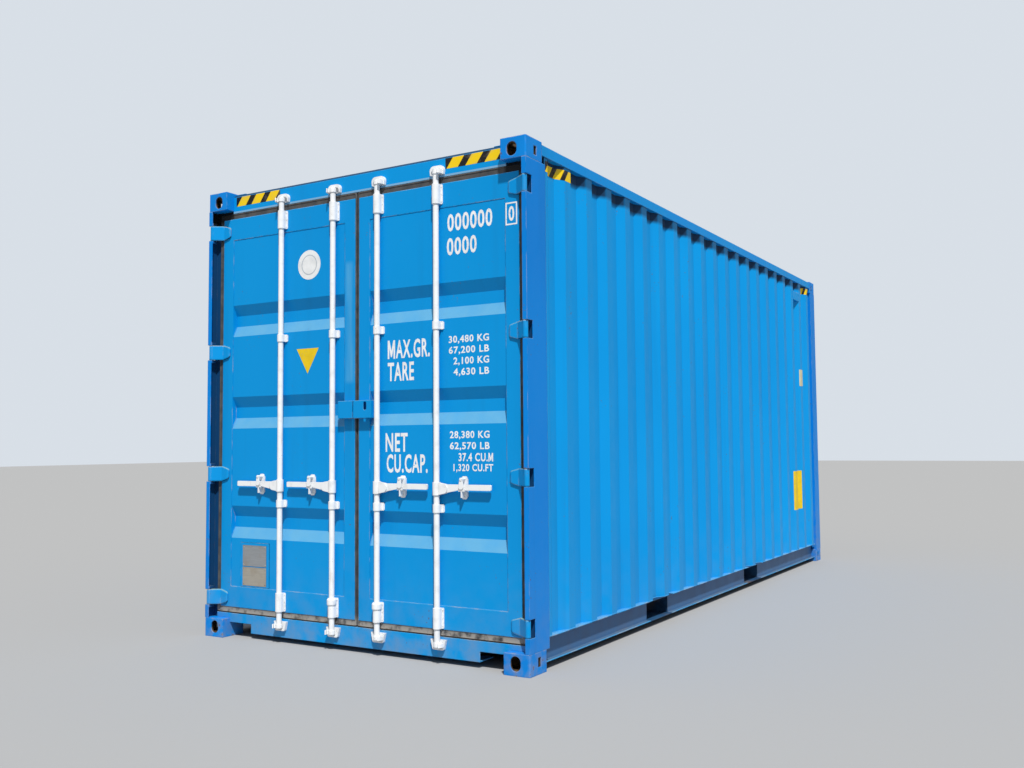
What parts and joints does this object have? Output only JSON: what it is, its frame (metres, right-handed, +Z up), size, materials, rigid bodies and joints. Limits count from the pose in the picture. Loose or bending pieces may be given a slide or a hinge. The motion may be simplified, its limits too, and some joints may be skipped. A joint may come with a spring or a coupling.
{
  "type": "shipping container",
  "caption": "Steel high-cube freight container with corrugated walls, hinged double doors, lock bars with cams and handles, corner castings and fork pockets.",
  "frame": {"origin": "on the ground under the middle of the container, in the plane of the bottom castings' faces", "axes": "+Z up, X along the length with the doors facing -X, Y across the width"},
  "size_m": [6.058, 2.438, 2.896],
  "materials": {
    "panel_blue": "satin marine enamel, sky blue",
    "frame_blue": "satin marine enamel, deeper blue, on posts and castings",
    "gear_white": "white enamel over galvanised steel",
    "pin_steel": "bare stainless pin",
    "seal_rubber": "weathered black seal",
    "floor_ply": "varnished hardwood plywood",
    "underframe": "dark waxy underbody coating over blue"
  },
  "bodies": {
    "container": {"door_end_top_castings": "frame_blue", "door_end_bottom_castings": "frame_blue", "front_end_top_castings": "frame_blue", "front_end_bottom_castings": "frame_blue", "right_door_post": "frame_blue", "left_door_post": "frame_blue", "right_front_post": "frame_blue", "left_front_post": "frame_blue", "top_side_rails": "frame_blue", "front_end_rails": "frame_blue", "right_side_wall": "panel_blue", "left_side_wall": "panel_blue", "front_wall": "panel_blue", "roof_sheet": "panel_blue", "roof_corner_plates": "panel_blue", "door_header": "panel_blue", "door_sill": "panel_blue", "ventilators": "panel_blue", "right_bottom_side_rail": "panel_blue", "left_bottom_side_rail": "panel_blue", "hinge_pins": "pin_steel", "cross_members": "underframe", "fork_pockets": "underframe", "floor_boards": "floor_ply", "floor_centre_strip": "underframe", "lock_keepers": "gear_white"},
    "left_door": {"left_door_frame": "panel_blue", "left_door_panel": "panel_blue", "left_door_hinges": "panel_blue", "left_lock_box": "panel_blue", "left_door_seal": "seal_rubber", "left_door_brackets": "gear_white"},
    "right_door": {"right_door_frame": "panel_blue", "right_door_panel": "panel_blue", "right_door_hinges": "panel_blue", "right_lock_box": "panel_blue", "right_door_seal": "seal_rubber", "right_door_brackets": "gear_white"},
    "left_inner_lock_bar": {"left_inner_lock_bar": "gear_white"},
    "left_inner_handle": {"left_inner_handle": "gear_white"},
    "left_inner_hasp": {"left_inner_hasp": "gear_white"},
    "left_outer_lock_bar": {"left_outer_lock_bar": "gear_white"},
    "left_outer_handle": {"left_outer_handle": "gear_white"},
    "left_outer_hasp": {"left_outer_hasp": "gear_white"},
    "right_inner_lock_bar": {"right_inner_lock_bar": "gear_white"},
    "right_inner_handle": {"right_inner_handle": "gear_white"},
    "right_inner_hasp": {"right_inner_hasp": "gear_white"},
    "right_outer_lock_bar": {"right_outer_lock_bar": "gear_white"},
    "right_outer_handle": {"right_outer_handle": "gear_white"},
    "right_outer_hasp": {"right_outer_hasp": "gear_white"}
  },
  "joints": [
    {"name": "left_door_swing", "type": "hinge", "parent": "container", "child": "left_door", "pos_m": [-3.014, 1.2, 0], "axis": [0, 0, -1], "range_deg": [0, 266]},
    {"name": "right_door_swing", "type": "hinge", "parent": "container", "child": "right_door", "pos_m": [-3.014, -1.2, 0], "axis": [0, 0, 1], "range_deg": [0, 266]},
    {"name": "left_inner_lock_bar_turn", "type": "hinge", "parent": "left_door", "child": "left_inner_lock_bar", "pos_m": [-2.995, 0.172, 0.985], "axis": [0, 0, -1], "range_deg": [-100, 0]},
    {"name": "left_inner_handle_lift", "type": "hinge", "parent": "left_inner_lock_bar", "child": "left_inner_handle", "pos_m": [-2.995, 0.223, 0.976], "axis": [1, 0, 0], "range_deg": [0, 6]},
    {"name": "left_inner_hasp_swing", "type": "hinge", "parent": "left_door", "child": "left_inner_hasp", "pos_m": [-3.01, 0.347, 1.031], "axis": [1, 0, 0], "range_deg": [0, 100]},
    {"name": "left_outer_lock_bar_turn", "type": "hinge", "parent": "left_door", "child": "left_outer_lock_bar", "pos_m": [-2.995, 0.6, 0.985], "axis": [0, 0, -1], "range_deg": [-100, 0]},
    {"name": "left_outer_handle_lift", "type": "hinge", "parent": "left_outer_lock_bar", "child": "left_outer_handle", "pos_m": [-2.995, 0.651, 0.976], "axis": [1, 0, 0], "range_deg": [0, 6]},
    {"name": "left_outer_hasp_swing", "type": "hinge", "parent": "left_door", "child": "left_outer_hasp", "pos_m": [-3.01, 0.775, 1.031], "axis": [1, 0, 0], "range_deg": [0, 100]},
    {"name": "right_inner_lock_bar_turn", "type": "hinge", "parent": "right_door", "child": "right_inner_lock_bar", "pos_m": [-2.995, -0.172, 0.985], "axis": [0, 0, 1], "range_deg": [-100, 0]},
    {"name": "right_inner_handle_lift", "type": "hinge", "parent": "right_inner_lock_bar", "child": "right_inner_handle", "pos_m": [-2.995, -0.223, 0.976], "axis": [-1, 0, 0], "range_deg": [0, 6]},
    {"name": "right_inner_hasp_swing", "type": "hinge", "parent": "right_door", "child": "right_inner_hasp", "pos_m": [-3.01, -0.347, 1.031], "axis": [-1, 0, 0], "range_deg": [0, 100]},
    {"name": "right_outer_lock_bar_turn", "type": "hinge", "parent": "right_door", "child": "right_outer_lock_bar", "pos_m": [-2.995, -0.6, 0.985], "axis": [0, 0, 1], "range_deg": [-100, 0]},
    {"name": "right_outer_handle_lift", "type": "hinge", "parent": "right_outer_lock_bar", "child": "right_outer_handle", "pos_m": [-2.995, -0.651, 0.976], "axis": [-1, 0, 0], "range_deg": [0, 6]},
    {"name": "right_outer_hasp_swing", "type": "hinge", "parent": "right_door", "child": "right_outer_hasp", "pos_m": [-3.01, -0.775, 1.031], "axis": [-1, 0, 0], "range_deg": [0, 100]}
  ]
}
